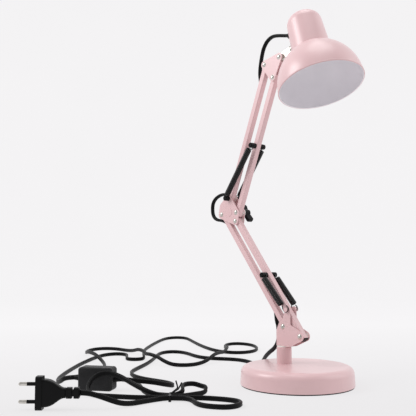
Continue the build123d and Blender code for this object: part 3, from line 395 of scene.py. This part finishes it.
def line_shade(tree, place, enamel):
    """Enamel outside and white lining on the wall that faces the middle of the shade's hollow."""
    lining = bpy.context.scene.lamp_finishes.lining
    middle = [v * MM for v in SHADE_MIDDLE]
    outward = add(tree, "ShaderNodeVectorMath", {1: middle}, {0: place}, operation="SUBTRACT")
    facing = add(
        tree,
        "ShaderNodeVectorMath",
        links={0: outward.outputs["Vector"], 1: place.node.outputs["Normal"]},
        operation="DOT_PRODUCT",
    )
    inside = add(tree, "ShaderNodeMath", {1: 0.0}, {0: facing.outputs["Value"]}, operation="LESS_THAN")
    white = tone(tree, place, 40 * MM, shaded(lining, 0.97), shaded(lining, 1.02))
    mix = add(tree, "ShaderNodeMix", data_type="RGBA")
    tree.links.new(inside.outputs["Value"], mix.inputs["Factor"])
    tree.links.new(enamel, mix.inputs[MIX_FIRST])
    tree.links.new(white, mix.inputs[MIX_SECOND])
    return mix.outputs[MIX_RESULT]


def powder_coat(name, lined):
    """Powder-coated steel: a satin film with a faint ripple, a little uneven in tone."""
    finishes = bpy.context.scene.lamp_finishes
    material, tree, shader, place = new_material(name)
    enamel = tone(tree, place, 60 * MM, shaded(finishes.enamel, 0.97), shaded(finishes.enamel, 1.03))
    if lined:
        enamel = line_shade(tree, place, enamel)
    tree.links.new(enamel, shader.inputs["Base Color"])
    # Orange peel is about 1 mm across on the real film, drawn coarser here so that it shows
    peel = ripple(tree, shader, place, size=finishes.peel, height=0.03 * MM, strength=0.1)
    roughen(tree, shader, peel, low=0.36, high=0.46)
    # The clear top of the cured film carries the soft boxes as pale, broad highlights
    shader.inputs["Coat Weight"].default_value = 0.8
    shader.inputs["Coat Roughness"].default_value = 0.3
    return material


def nickel_plate():
    """Nickel-plated steel: bright, faintly warm, with fine polishing marks."""
    material, tree, shader, place = new_material("nickel_plated_steel")
    colour = tone(tree, place, 8 * MM, linear("BDB9B2"), linear("D9D6D0"))
    tree.links.new(colour, shader.inputs["Base Color"])
    shader.inputs["Metallic"].default_value = 1.0
    marks = ripple(tree, shader, place, size=0.5 * MM, height=0.01 * MM, strength=0.15)
    roughen(tree, shader, marks, low=0.16, high=0.3)
    return material


def moulded_nylon(name, code, low, high):
    """Moulded nylon, ABS or phenolic: satin, with the fine grain of a spark-eroded mould."""
    material, tree, shader, place = new_material(name)
    colour = tone(tree, place, 14 * MM, shaded(code, 0.85), shaded(code, 1.2))
    tree.links.new(colour, shader.inputs["Base Color"])
    grain = ripple(tree, shader, place, size=0.35 * MM, height=0.02 * MM, strength=0.3)
    roughen(tree, shader, grain, low, high)
    shader.inputs["IOR"].default_value = PLASTIC_IOR
    shader.inputs["Specular IOR Level"].default_value = 0.12
    return material


def black_spring_steel():
    """Black-lacquered spring steel: a thin glossy skin, so each turn carries a narrow bright line."""
    material, tree, shader, place = new_material("black_lacquered_spring_steel")
    colour = tone(tree, place, 5 * MM, linear("080809"), linear("101011"))
    tree.links.new(colour, shader.inputs["Base Color"])
    drawn = ripple(tree, shader, place, size=0.4 * MM, height=0.01 * MM, strength=0.2)
    roughen(tree, shader, drawn, low=0.16, high=0.24)
    shader.inputs["Specular IOR Level"].default_value = 0.45
    return material


def pvc_lead():
    """Extruded PVC: an even satin skin with a faint dusting along it."""
    lead = bpy.context.scene.lamp_finishes.lead
    material, tree, shader, place = new_material("extruded_pvc")
    colour = tone(tree, place, 25 * MM, shaded(lead, 0.85), shaded(lead, 1.35))
    tree.links.new(colour, shader.inputs["Base Color"])
    skin = ripple(tree, shader, place, size=0.6 * MM, height=0.02 * MM, strength=0.2)
    roughen(tree, shader, skin, low=0.36, high=0.5)
    shader.inputs["IOR"].default_value = PLASTIC_IOR
    shader.inputs["Specular IOR Level"].default_value = 0.1
    return material


def foam_rubber():
    """Foam rubber pad: matt, open, fine-grained."""
    material, tree, shader, place = new_material("foam_rubber")
    colour = tone(tree, place, 3 * MM, linear("161616"), linear("2B2B2B"))
    tree.links.new(colour, shader.inputs["Base Color"])
    cells = ripple(tree, shader, place, size=0.8 * MM, height=0.15 * MM, strength=0.6)
    roughen(tree, shader, cells, low=0.8, high=0.95)
    return material


def raw_iron():
    """Cast iron: dark, grainy from the sand."""
    material, tree, shader, place = new_material("sand_cast_iron")
    colour = tone(tree, place, 4 * MM, linear("38383A"), linear("565659"))
    tree.links.new(colour, shader.inputs["Base Color"])
    shader.inputs["Metallic"].default_value = 0.7
    sand = ripple(tree, shader, place, size=1.2 * MM, height=0.2 * MM, strength=0.6)
    roughen(tree, shader, sand, low=0.55, high=0.75)
    return material


def make_finishes():
    """The lamp's finishes: one for each of the record's slots, and for the lined shade and the switch."""
    finishes = bpy.context.scene.lamp_finishes
    return {
        "pink_paint": powder_coat("powder_coated_steel", False),
        "lined_shade": powder_coat("powder_coated_steel_lined", True),
        "cast_iron": raw_iron(),
        "pad_rubber": foam_rubber(),
        "nickel": nickel_plate(),
        "black_nylon": moulded_nylon("moulded_nylon_black", finishes.nylon, low=0.3, high=0.42),
        "switch_nylon": moulded_nylon("moulded_abs_charcoal", finishes.switch, low=0.4, high=0.52),
        "white_nylon": moulded_nylon("moulded_nylon_natural", "E4E2DC", low=0.35, high=0.5),
        "holder_plastic": moulded_nylon("moulded_phenolic", "1C1A19", low=0.25, high=0.4),
        "spring_steel": black_spring_steel(),
        "cord_black": pvc_lead(),
    }


def dress(piece, material):
    piece.data.materials.clear()
    piece.data.materials.append(material)


# Lines and tubes


def in_metres(points):
    return [Vector(point) * MM for point in points]


def route_line(points, resolution):
    """Points along the smooth NURBS line that takes a route's points as its control points."""
    curve = bpy.data.curves.new("route", "CURVE")
    curve.dimensions = "3D"
    spline = curve.splines.new("NURBS")
    spline.points.add(len(points) - 1)
    for point, place in zip(spline.points, points):
        point.co = (*place, 1.0)
    spline.order_u = 3
    spline.use_endpoint_u = True
    spline.resolution_u = resolution
    holder = bpy.data.objects.new("route", curve)
    mesh = bpy.data.meshes.new_from_object(holder)
    line = [vertex.co.copy() for vertex in mesh.vertices]
    bpy.data.objects.remove(holder)
    bpy.data.curves.remove(curve)
    bpy.data.meshes.remove(mesh)
    return line


def tube(name, line, profile, upright, first_side=None):
    """Mesh that carries a closed profile along a line. Upright, its wide side turns up on level stretches."""
    count = len(line)
    sides = len(profile)
    vertices = []
    side = first_side or UP.cross(line[1] - line[0])
    for index, place in enumerate(line):
        ahead = (line[min(index + 1, count - 1)] - line[max(index - 1, 0)]).normalized()
        side = (side - ahead * side.dot(ahead)).normalized()
        upward = UP - ahead * UP.dot(ahead)
        if upright and upward.length > LEVEL_ENOUGH:
            upward = upward.normalized() * (1 if upward.dot(side) >= 0 else -1)
            side = side.lerp(upward, WIDE_SIDE_TURN).normalized()
        top = ahead.cross(side)
        vertices += [place + side * across + top * high for across, high in profile]
    faces = []
    for ring in range(count - 1):
        for corner in range(sides):
            following = (corner + 1) % sides
            low = ring * sides
            faces.append((low + corner, low + following, low + sides + following, low + sides + corner))
    faces.append(tuple(reversed(range(sides))))
    faces.append(tuple(range((count - 1) * sides, count * sides)))
    mesh = bpy.data.meshes.new(name)
    mesh.from_pydata(vertices, [], faces)
    mesh.polygons.foreach_set("use_smooth", [True] * (len(faces) - 2) + [False, False])
    mesh.validate()
    piece = bpy.data.objects.new(name, mesh)
    bpy.context.scene.collection.objects.link(piece)
    return piece


def wire_profile():
    """Section of the spring wire."""
    radius = bpy.context.scene.lamp_springs.wire / 2
    turns = [2 * math.pi * k / WIRE_SIDES for k in range(WIRE_SIDES)]
    return [(radius * math.cos(turn), radius * math.sin(turn)) for turn in turns]


def twin_profile():
    """Section of a flat twin lead: two cores side by side in one skin, with a shallow valley between them."""
    leads = bpy.context.scene.lamp_leads
    core = leads.thickness / 2
    spread = leads.width / 2 - core
    points = []
    for way in (1, -1):
        for step in range(CORE_STEPS + 1):
            turn = math.radians(-CORE_ARC / 2 + CORE_ARC * step / CORE_STEPS) + (0 if way > 0 else math.pi)
            points.append((way * spread + core * math.cos(turn), core * math.sin(turn)))
        points.append((0.0, way * core * VALLEY))
    return points


# Leads


def along(start, lean, distance, offset):
    """Point in the arm plane, a distance along a tube that leans, and an offset to its front."""
    turn = math.radians(lean)
    return (
        start[0] + distance * math.sin(turn) + offset * math.cos(turn),
        0.0,
        start[1] + distance * math.cos(turn) - offset * math.sin(turn),
    )


def slot_end(pivot, lean, way, shift):
    """The lead's way from inside a tube out by its slot."""
    route = [(TUBE_LEAD_INSET, 0.0)] + [(distance - shift, offset) for distance, offset in SLOT_ROUTE]
    return [along(pivot, lean, way * distance, offset) for distance, offset in route]


def laid(u, v, z=LEAD_REST):
    """Point of the free lead on the table."""
    turn = math.radians(HANK_HEADING)
    return (
        HANK_CENTRE[0] + u * math.cos(turn) - v * math.sin(turn),
        HANK_CENTRE[1] + u * math.sin(turn) + v * math.cos(turn),
        z,
    )


def right_fold(lane, length, width, fan, heights):
    """Points of a fold to the right of the tie: out along one side, round the end and back."""
    turn = math.radians(fan)
    ahead = (math.cos(turn), math.sin(turn))
    half = width / 2
    tip = length - half
    # The end is half an octagon, which the smooth line rounds off
    corner = half * math.tan(math.radians(22.5))

    def spot(forward, sideways, z):
        return (
            ahead[0] * forward - ahead[1] * sideways,
            lane - HANK_STEP / 2 + ahead[1] * forward + ahead[0] * sideways,
            z,
        )

    out, end, back = heights
    return [
        (TIE_HALF + tip * FOLD_ENTRY, lane, (HANK_WAIST + out) / 2),
        spot(tip * FOLD_SPREAD, half, out),
        spot(tip + corner, half, out),
        spot(length, corner, end),
        spot(length, -corner, end),
        spot(tip + corner, -half, back),
        spot(tip * FOLD_SPREAD, -half, back),
        (TIE_HALF + tip * FOLD_ENTRY, lane - HANK_STEP, (HANK_WAIST + back) / 2),
    ]


def hank_run():
    """The hank's folds, tied at the waist: small to the right, leaning on the switch, large to the right."""
    lanes = [HANK_STEP * ((HANK_LANES - 1) / 2 - lane) for lane in range(HANK_LANES)]

    def waist(lane, way):
        return [(-TIE_HALF * way, lanes[lane], HANK_WAIST), (TIE_HALF * way, lanes[lane], HANK_WAIST)]

    points = waist(0, 1) + right_fold(lanes[0], length=48.0, width=24.0, fan=38.0, heights=(12.0, 9.0, 4.5))
    points += waist(1, -1) + LEANING_FOLD
    points += waist(2, 1) + right_fold(lanes[2], length=84.0, width=40.0, fan=-24.0, heights=(LEAD_REST,) * 3)
    return points + waist(3, -1) + [(HANK_TAIL[0], lanes[3] + HANK_TAIL[1], LEAD_REST)]


def lead_piece(name, line, upright, side, *nodes):
    """A stretch of lead that stands for one or more of the CAD's nodes."""
    piece = tube(name, line, twin_profile(), upright, side)
    dress(piece, FINISH["cord_black"])
    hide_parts(*nodes)
    return piece


class LAMP_OT_hold_leads(bpy.types.Operator):
    """Make the stretches of lead that the lamp holds, from the head to the bracket"""

    bl_idname = "lamp.hold_leads"
    bl_label = "Held leads"

    def execute(self, context):
        yoke_end = slot_end(YOKE_REAR, UPPER_LEAN, -1, 0.0)
        upper_end = slot_end(ELBOW_TOP_REAR, UPPER_LEAN, 1, ELBOW_SLOT_SHIFT)
        lower_end = slot_end(ELBOW_LOW_REAR, LOWER_LEAN, -1, ELBOW_SLOT_SHIFT)
        exit_end = slot_end(BRACKET_REAR, LOWER_LEAN, 1, 0.0)
        yoke_route = [LEAD_SPLIT_HEAD, YOKE_BEND] + yoke_end[::-1]
        upper_route = upper_end + ELBOW_LOOP
        lower_route = [LEAD_SPLIT_ELBOW] + ELBOW_TAIL + lower_end[::-1]
        exit_route = exit_end + [EXIT_BEND, LEAD_LEAVES]
        # A stretch runs between its slot and its split; inside the tube it keeps to the tube
        stretches = (
            ("head_lead", HEAD_LEAD, "head", "yoke", *HEAD_LEAD_TURNING),
            ("yoke_lead", yoke_route, "yoke", "upper_rear_arm", LEAD_SPLIT_HEAD, yoke_end[2]),
            ("elbow_lead_upper", upper_route, "upper_rear_arm", "elbow", upper_end[2], LEAD_SPLIT_ELBOW),
            ("elbow_lead_lower", lower_route, "lower_rear_arm", "elbow", lower_end[2], LEAD_SPLIT_ELBOW),
            ("lead_exit", exit_route, "lower_rear_arm", "turret", exit_end[2], LEAD_LEAVES),
        )
        for node, points, first, second, start, end in stretches:
            line = route_line(in_metres(points), HELD_LEAD_STEPS)
            piece = lead_piece(f"held_{node}", line, False, ACROSS, node)
            start, end = in_metres((start, end))
            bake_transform(piece)
        for node, body, low, high in (
            ("upper_tube_lead", "upper_rear_arm", upper_end[0], yoke_end[0]),
            ("lower_tube_lead", "lower_rear_arm", exit_end[0], lower_end[0]),
        ):
            low, high = in_metres((low, high))
            line = [low.lerp(high, step / TUBE_LEAD_STEPS) for step in range(TUBE_LEAD_STEPS + 1)]
            piece = lead_piece(f"held_{node}", line, False, ACROSS, node)
            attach(piece, body)
        return {"FINISHED"}


class LAMP_OT_lay_leads(bpy.types.Operator):
    """Lay the free lead: from the bracket to the switch, and from the switch through the hank to the plug"""

    bl_idname = "lamp.lay_leads"
    bl_label = "Free lead"

    def execute(self, context):
        route = in_metres(DROP + [laid(*point) for point in LAMP_RUN])
        line = route_line(route, FREE_LEAD_STEPS)
        piece = lead_piece("lamp_lead_to_switch", line, True, DROP_SIDE, "lead_drop", "lamp_lead")
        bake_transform(piece)

        run = TABLE_RUN + hank_run() + PLUG_RUN
        line = route_line(in_metres([laid(*point) for point in run]), FREE_LEAD_STEPS)
        piece = lead_piece("table_lead_to_plug", line, True, UP, "table_lead", "lead_hank", "plug_lead")
        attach(piece, "base")
        return {"FINISHED"}


# Springs


def spring_line(low, high, turns, outward, eye, inside):
    """Line of a spring's wire: an eye round the lower pin, the turns, and a hook round the upper pin."""
    springs = bpy.context.scene.lamp_springs
    hook = HOOK_RADIUS * MM
    span = Vector(((high[0] - low[0]) * MM, 0, (high[1] - low[1]) * MM))
    ahead = span.normalized()
    # The eye is wider than what it hangs on, so it sits off the pin's middle
    slack = eye - springs.wire / 2 - inside
    start = Vector((low[0] * MM, SPRING_PLANE * MM * outward, low[1] * MM)) + ahead * slack
    length = span.length - slack
    out = Vector((0, outward, 0))
    side = ahead.cross(ACROSS)

    def at(forward, sideways, outwards=0.0):
        return start + ahead * forward + side * sideways + out * outwards

    first = eye + EYE_REACH * MM
    last = length - HOOK_REACH * MM
    # The smooth line cuts inside its points, so round stretches get points this much further out
    rounded = 1 / math.cos(math.radians(ROUND_STEP / 2))
    wide = springs.radius / math.cos(math.pi / COIL_STEPS)

    points = [at(EYE_CUT * MM, -eye * EYE_CUT_ASIDE)]
    for k in HALF_ROUND:
        turn = math.radians(-90 - ROUND_STEP * k)
        points.append(at(eye * rounded * math.cos(turn), eye * rounded * math.sin(turn)))
    points += [at(first * forward, eye * aside) for forward, aside in EYE_NECK]
    total = COIL_STEPS * turns
    for index in range(total + 1):
        turn = 2 * math.pi * index / COIL_STEPS
        forward = first + (last - first) * index / total
        points.append(at(forward, -wide * math.sin(turn), springs.radius - wide * math.cos(turn)))
    points += [at(last + forward * MM, -hook * aside) for forward, aside in HOOK_NECK]
    for k in HALF_ROUND:
        turn = math.radians(-90 + ROUND_STEP * k)
        points.append(at(length + hook * rounded * math.cos(turn), hook * rounded * math.sin(turn)))
    points.append(at(length - HOOK_CUT * MM, hook))
    return route_line(points, WIRE_STEPS)


class LAMP_OT_wind_springs(bpy.types.Operator):
    """Wind the four tension springs on their bobbins"""

    bl_idname = "lamp.wind_springs"
    bl_label = "Springs"

    def execute(self, context):
        for name, (low, high, eye, inside, bodies, turning) in SPRING_PAIRS.items():
            turns = getattr(context.scene.lamp_springs, f"{name}_turns")
            for side, outward in (("far", 1), ("near", -1)):
                line = spring_line(low, high, turns, outward, eye * MM, inside * MM)
                piece = tube(f"{name}_spring_{side}", line, wire_profile(), False)
                dress(piece, FINISH["spring_steel"])
                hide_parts(f"{name}_springs")
                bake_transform(piece)
        return {"FINISHED"}


class LAMP_OT_finish_metal(bpy.types.Operator):
    """Give every rigid piece of the lamp its finish"""

    bl_idname = "lamp.finish_metal"
    bl_label = "Finishes"

    def execute(self, context):
        FINISH.update(make_finishes())
        special = {
            "shade_dome": "lined_shade",
            "switch_front_half": "switch_nylon",
            "switch_back_half": "switch_nylon",
            "switch_rocker": "switch_nylon",
        }
        for part in frame["record"]["subparts"]:
            dress(NODES[part["node"]], FINISH[special.get(part["node"], part["material_slot"])])
        return {"FINISHED"}


# Studio


def sweep_mesh():
    """A round floor that curves up far away, all round the lamp, with its faces turned inward."""
    profile = [(SWEEP_FLOOR, 0.0)]
    for degrees in range(BEND_STEP, 91, BEND_STEP):
        turn = math.radians(degrees)
        profile.append((SWEEP_FLOOR + SWEEP_BEND * math.sin(turn), SWEEP_BEND - SWEEP_BEND * math.cos(turn)))
    profile.append((SWEEP_FLOOR + SWEEP_BEND, SWEEP_TOP))
    turns = [2 * math.pi * k / SWEEP_SIDES for k in range(SWEEP_SIDES)]
    vertices = [(r * math.cos(turn), r * math.sin(turn), z) for r, z in profile for turn in turns]
    faces = [tuple(range(SWEEP_SIDES))]
    for ring in range(len(profile) - 1):
        for k in range(SWEEP_SIDES):
            low = ring * SWEEP_SIDES
            high = low + SWEEP_SIDES
            following = (k + 1) % SWEEP_SIDES
            faces.append((low + k, high + k, high + following, low + following))
    mesh = bpy.data.meshes.new("paper_sweep")
    mesh.from_pydata(vertices, [], faces)
    mesh.polygons.foreach_set("use_smooth", [True] * len(faces))
    return mesh


def painted_glow_paper(painted_glow):
    """Seamless paper: matt and nearly even, with a painted glow that stands in for light coming through it.
    """
    material, tree, shader, place = new_material("painted_glow_paper")
    colour = tone(tree, place, 0.4, linear("5E5D5E"), linear("605F60"))
    tree.links.new(colour, shader.inputs["Base Color"])
    # The sheet has a painted glow in place of a light behind it, which keeps floor and background even and
    # the shadows faint
    shader.inputs["Emission Color"].default_value = linear("FFFEFF")
    # Painted glow, weaker near the camera: the floor is painted darker in front
    depth = add(tree, "ShaderNodeSeparateXYZ", links={"Vector": place})
    painted_glow_rise = add(
        tree,
        "ShaderNodeMapRange",
        {"From Min": PAINTED_GLOW_FROM, "From Max": PAINTED_GLOW_TO, "To Min": painted_glow * PAINTED_GLOW_NEAR, "To Max": painted_glow},
        {"Value": depth.outputs["Y"]},
    )
    tree.links.new(painted_glow_rise.outputs["Result"], shader.inputs["Emission Strength"])
    shader.inputs["Roughness"].default_value = 0.9
    shader.inputs["Specular IOR Level"].default_value = 0.0
    # Rays find a sheet this large by themselves, and the lamp's faces come out clean
    material.cycles.emission_sampling = "NONE"
    return material


def soft_light(scene, name, place, aim, size, power):
    """A square soft box that the camera doesn't see."""
    light = bpy.data.lights.new(name, "AREA")
    light.size = size
    light.energy = power
    lamp = bpy.data.objects.new(name, light)
    lamp.location = place
    lamp.rotation_euler = (Vector(place) - Vector(aim)).to_track_quat("Z", "Y").to_euler()
    lamp.visible_camera = False
    scene.collection.objects.link(lamp)


class LAMP_OT_stage(bpy.types.Operator):
    """Set the pale floor, the soft studio light and the camera"""

    bl_idname = "lamp.stage"
    bl_label = "Studio"

    def execute(self, context):
        scene = context.scene
        studio = scene.lamp_studio
        sweep = bpy.data.objects.new("paper_sweep", sweep_mesh())
        # Turned with the camera, so that its y runs away from the viewer
        sweep.matrix_world = Matrix.Rotation(math.radians(CAMERA_HEADING), 4, "Z")
        scene.collection.objects.link(sweep)
        dress(sweep, painted_glow_paper(studio.painted_glow))

        world = bpy.data.worlds.new("even_surround")
        scene.world = world
        world.use_nodes = True
        background = world.node_tree.nodes["Background"]
        background.inputs["Color"].default_value = (1, 1, 1, 1)
        background.inputs["Strength"].default_value = studio.sky

        for name, place, aim, size, power in (
            ("key_light", (-0.75, -1.1, 1.1), (0, 0, 0.25), 0.7, studio.key_power),
            ("rim_light", (1.05, 0.85, 0.9), (0, 0, 0.25), 1.2, studio.rim_power),
            ("top_light", (0.02, 0.0, 1.45), (0.02, 0, 0), 0.7, studio.top_power),
            ("front_light", (0.42, -0.46, 1.3), (0, 0, 0.3), 0.9, studio.front_power),
        ):
            soft_light(scene, name, place, aim, size, power)

        camera = bpy.data.cameras.new("photo_camera")
        camera.sensor_width = CAMERA_FRAME
        camera.lens = studio.lens
        eye = bpy.data.objects.new("photo_camera", camera)
        eye.location = CAMERA_PLACE
        eye.rotation_euler = Euler((math.radians(90 + CAMERA_TILT), 0, math.radians(CAMERA_HEADING)))
        scene.collection.objects.link(eye)
        scene.camera = eye
        scene.view_settings.view_transform = "Standard"
        return {"FINISHED"}


class LAMP_PT_panel(bpy.types.Panel):
    """Sidebar panel that lists the lamp's settings and steps"""

    bl_label = "Desk lamp"
    bl_idname = "LAMP_PT_panel"
    bl_space_type = "VIEW_3D"
    bl_region_type = "UI"
    bl_category = "Lamp"

    def draw(self, context):
        for group in GROUPS:
            values = getattr(context.scene, group)
            for name in values.__annotations__:
                self.layout.prop(values, name)
        for operator in OPERATORS:
            self.layout.operator(operator.bl_idname)


GROUPS = {
    "lamp_finishes": LampFinishes,
    "lamp_leads": LampLeads,
    "lamp_springs": LampSprings,
    "lamp_studio": LampStudio,
}
OPERATORS = (
    LAMP_OT_finish_metal,
    LAMP_OT_hold_leads,
    LAMP_OT_lay_leads,
    LAMP_OT_wind_springs,
    LAMP_OT_stage,
)


def register():
    for group, kind in GROUPS.items():
        bpy.utils.register_class(kind)
        setattr(bpy.types.Scene, group, bpy.props.PointerProperty(type=kind))
    for kind in (*OPERATORS, LAMP_PT_panel):
        bpy.utils.register_class(kind)


def unregister():
    for kind in (LAMP_PT_panel, *reversed(OPERATORS)):
        bpy.utils.unregister_class(kind)
    for group, kind in GROUPS.items():
        delattr(bpy.types.Scene, group)
        bpy.utils.unregister_class(kind)


def main():
    register()
    for operator in OPERATORS:
        section, name = operator.bl_idname.split(".")
        getattr(getattr(bpy.ops, section), name)()


if __name__ == "__main__":
    main()
